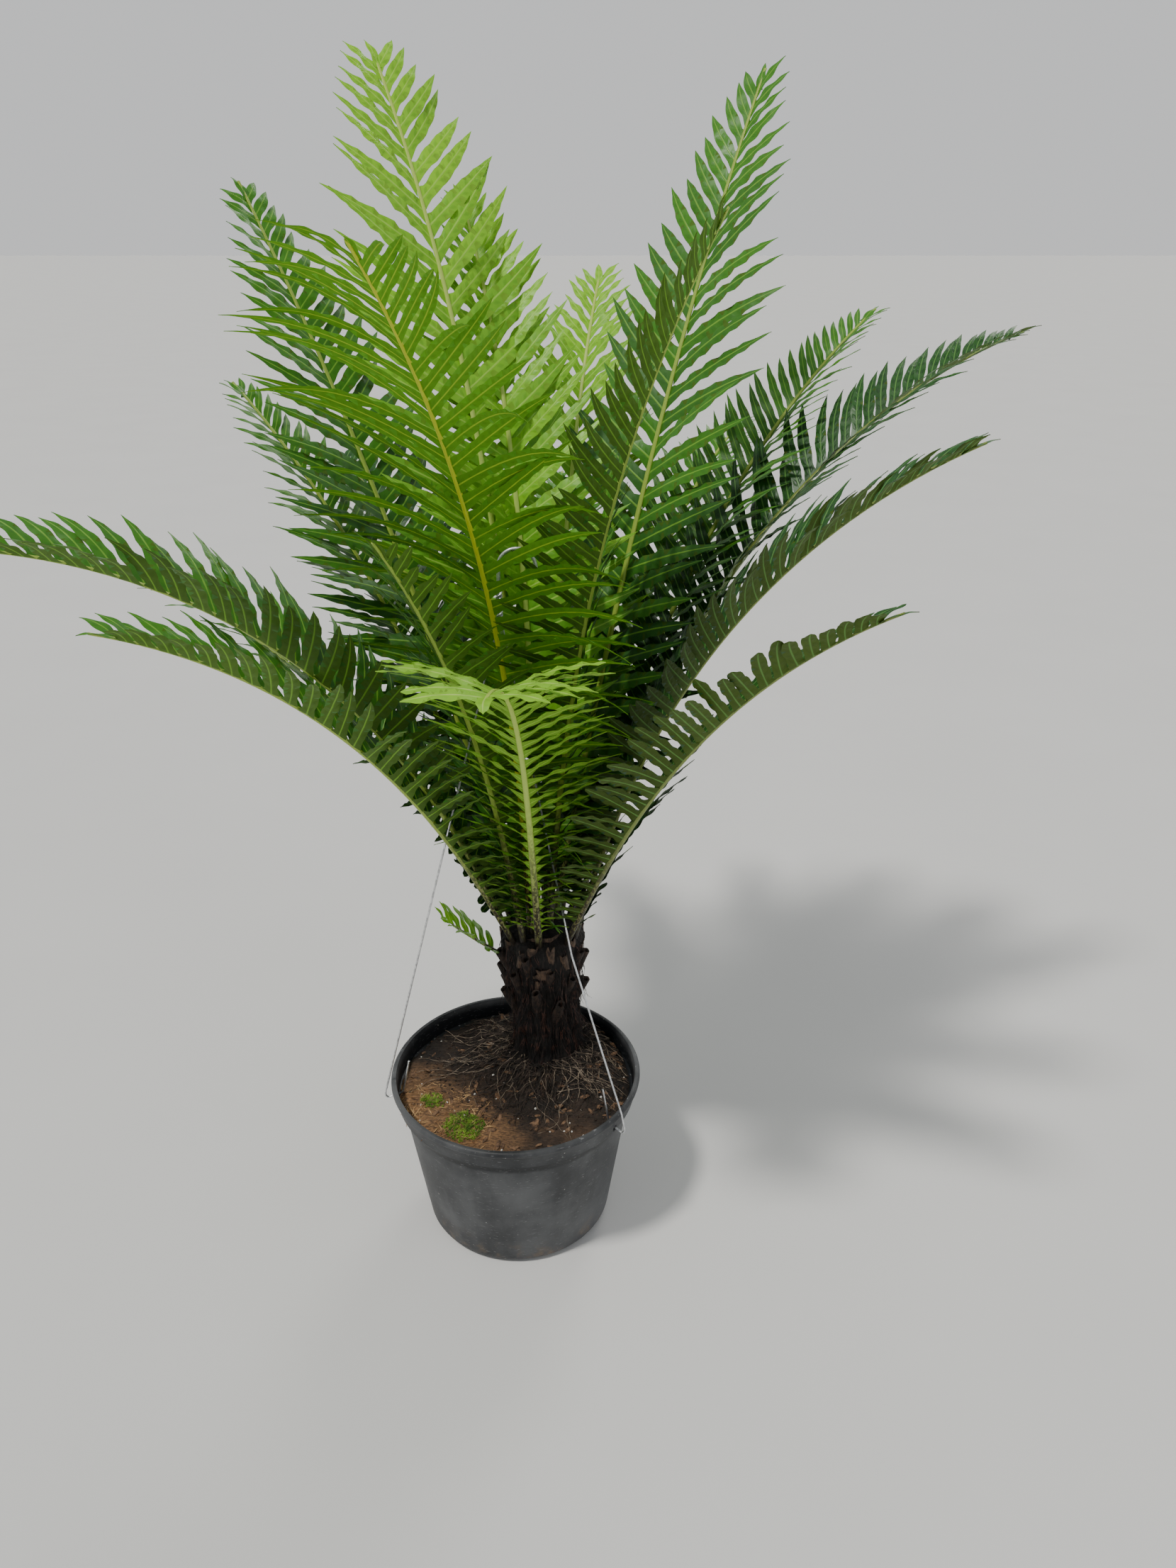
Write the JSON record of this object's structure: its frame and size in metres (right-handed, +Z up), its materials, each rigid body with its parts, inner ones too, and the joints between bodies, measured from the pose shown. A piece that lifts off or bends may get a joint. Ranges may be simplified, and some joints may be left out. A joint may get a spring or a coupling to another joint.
{
  "type": "potted dwarf tree fern",
  "caption": "Dwarf tree fern with a short fibrous trunk and a vase of arching pinnate fronds, in a round nursery pot with a three-wire hanger.",
  "frame": {"origin": "middle of the pot's flat underside", "axes": "+Z up through the pot and trunk, -Y the side that the picture looks at, +X to the right in that view"},
  "size_m": [0.98, 0.8037, 1.1603],
  "materials": {
    "pot_plastic": "black moulded plastic, dusty, lightly scuffed",
    "potting_mix": "brown bark and peat mix with fibres, white grit and moss",
    "trunk_fibre": "near-black fibrous trunk with stumps of old fronds",
    "frond": "glossy leathery green leaflets on pale yellow-green ribs",
    "wire": "dull galvanised steel wire"
  },
  "bodies": {
    "root": {"pot": "pot_plastic", "soil": "potting_mix", "trunk": "trunk_fibre", "hanger_wire_left": "wire", "hanger_wire_right": "wire", "hanger_wire_back": "wire", "hanger_hook": "wire", "frond_tall_left": "frond", "frond_tall_right": "frond", "frond_front_high": "frond", "frond_front_mid": "frond", "frond_front_nodding": "frond", "frond_left_long": "frond", "frond_left_low": "frond", "frond_front_right": "frond", "frond_right_low": "frond", "frond_right_mid": "frond", "frond_right_high": "frond", "frond_right_back": "frond", "frond_left_back_high": "frond", "frond_left_back_low": "frond", "frond_back_high": "frond", "frond_back_right": "frond", "frond_back_mid": "frond", "frond_back_low": "frond", "frond_back_left": "frond", "frond_left_short": "frond", "frond_stunted": "frond"}
  },
  "joints": []
}
